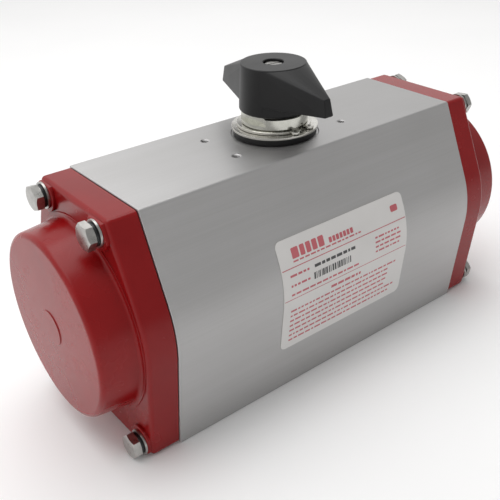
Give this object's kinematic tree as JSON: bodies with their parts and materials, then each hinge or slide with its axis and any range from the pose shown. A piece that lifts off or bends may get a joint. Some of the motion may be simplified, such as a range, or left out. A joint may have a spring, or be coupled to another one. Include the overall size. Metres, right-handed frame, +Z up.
{
  "type": "rotary pneumatic actuator",
  "caption": "Double-acting rack-and-pinion quarter-turn pneumatic actuator: extruded aluminium body, domed end caps, and a winged position indicator on top.",
  "frame": {"origin": "on the pinion's axis, in the plane of the body's bottom face, which bolts to the valve", "axes": "+Z up along the pinion towards the indicator, +X along the bore, -Y towards the name plate, +Y towards the air ports"},
  "size_m": [0.3102, 0.1224, 0.1805],
  "materials": {
    "anodised_aluminium": "satin anodised extrusion with fine lines along its length",
    "red_paint": "glossy red enamel on a die casting",
    "zinc_steel": "bright zinc plating",
    "dark_steel": "blackened spring steel",
    "nickel_steel": "turned steel, nickel plated",
    "stainless_steel": "bright stainless strip",
    "piston_aluminium": "die cast, machined on its running faces",
    "black_plastic": "moulded, fine matte grain",
    "bearing_plastic": "plain bearing plastic",
    "black_rubber": "nitrile rubber",
    "plate_film": null
  },
  "bodies": {
    "housing": {"body": "anodised_aluminium", "end_cap_left": "red_paint", "end_cap_right": "red_paint", "cap_seal_left": "black_rubber", "cap_seal_right": "black_rubber", "cap_bolt_left_1": "zinc_steel", "spring_washer_left_1": "dark_steel", "flat_washer_left_1": "zinc_steel", "cap_bolt_left_2": "zinc_steel", "spring_washer_left_2": "dark_steel", "flat_washer_left_2": "zinc_steel", "cap_bolt_left_3": "zinc_steel", "spring_washer_left_3": "dark_steel", "flat_washer_left_3": "zinc_steel", "cap_bolt_left_4": "zinc_steel", "spring_washer_left_4": "dark_steel", "flat_washer_left_4": "zinc_steel", "cap_bolt_right_1": "zinc_steel", "spring_washer_right_1": "dark_steel", "flat_washer_right_1": "zinc_steel", "cap_bolt_right_2": "zinc_steel", "spring_washer_right_2": "dark_steel", "flat_washer_right_2": "zinc_steel", "cap_bolt_right_3": "zinc_steel", "spring_washer_right_3": "dark_steel", "flat_washer_right_3": "zinc_steel", "cap_bolt_right_4": "zinc_steel", "spring_washer_right_4": "dark_steel", "flat_washer_right_4": "zinc_steel", "pinion_bearing_top": "bearing_plastic", "pinion_bearing_bottom": "bearing_plastic", "thrust_washer": "black_plastic", "stop_nut_closed": "zinc_steel", "stop_nut_open": "zinc_steel", "stop_seal_closed": "black_rubber", "stop_seal_open": "black_rubber", "name_plate": "plate_film"},
    "pinion": {"pinion": "nickel_steel", "stop_cam": "zinc_steel", "pinion_seal_top": "black_rubber", "pinion_seal_bottom": "black_rubber", "pinion_washer": "stainless_steel", "circlip": "stainless_steel", "indicator_knob": "black_plastic", "indicator_screw": "zinc_steel"},
    "piston_left": {"piston_left": "piston_aluminium", "piston_seal_left": "black_rubber", "piston_wear_ring_left": "bearing_plastic", "rack_guide_left": "bearing_plastic"},
    "piston_right": {"piston_right": "piston_aluminium", "piston_seal_right": "black_rubber", "piston_wear_ring_right": "bearing_plastic", "rack_guide_right": "bearing_plastic"},
    "stop_screw_closed": {"stop_screw_closed": "zinc_steel"},
    "stop_screw_open": {"stop_screw_open": "zinc_steel"}
  },
  "joints": [
    {"name": "pinion_turn", "type": "hinge", "parent": "housing", "child": "pinion", "pos_m": [0, 0, 0.0695], "axis": [0, 0, 1], "range_deg": [0, 90]},
    {"name": "piston_right_slide", "type": "slide", "parent": "housing", "child": "piston_right", "axis": [1, 0, 0], "range_m": [0, 0.0355]},
    {"name": "piston_left_slide", "type": "slide", "parent": "housing", "child": "piston_left", "axis": [-1, 0, 0], "range_m": [0, 0.0355]},
    {"name": "stop_screw_closed_adjust", "type": "slide", "parent": "housing", "child": "stop_screw_closed", "axis": [0, 1, 0], "range_m": [0, 0.003]},
    {"name": "stop_screw_open_adjust", "type": "slide", "parent": "housing", "child": "stop_screw_open", "axis": [0, 1, 0], "range_m": [0, 0.003]}
  ],
  "couplings": [
    {"joint": "piston_right_slide", "follows": "pinion_turn", "m_per_rad": 0.0225},
    {"joint": "piston_left_slide", "follows": "pinion_turn", "m_per_rad": 0.0225}
  ]
}
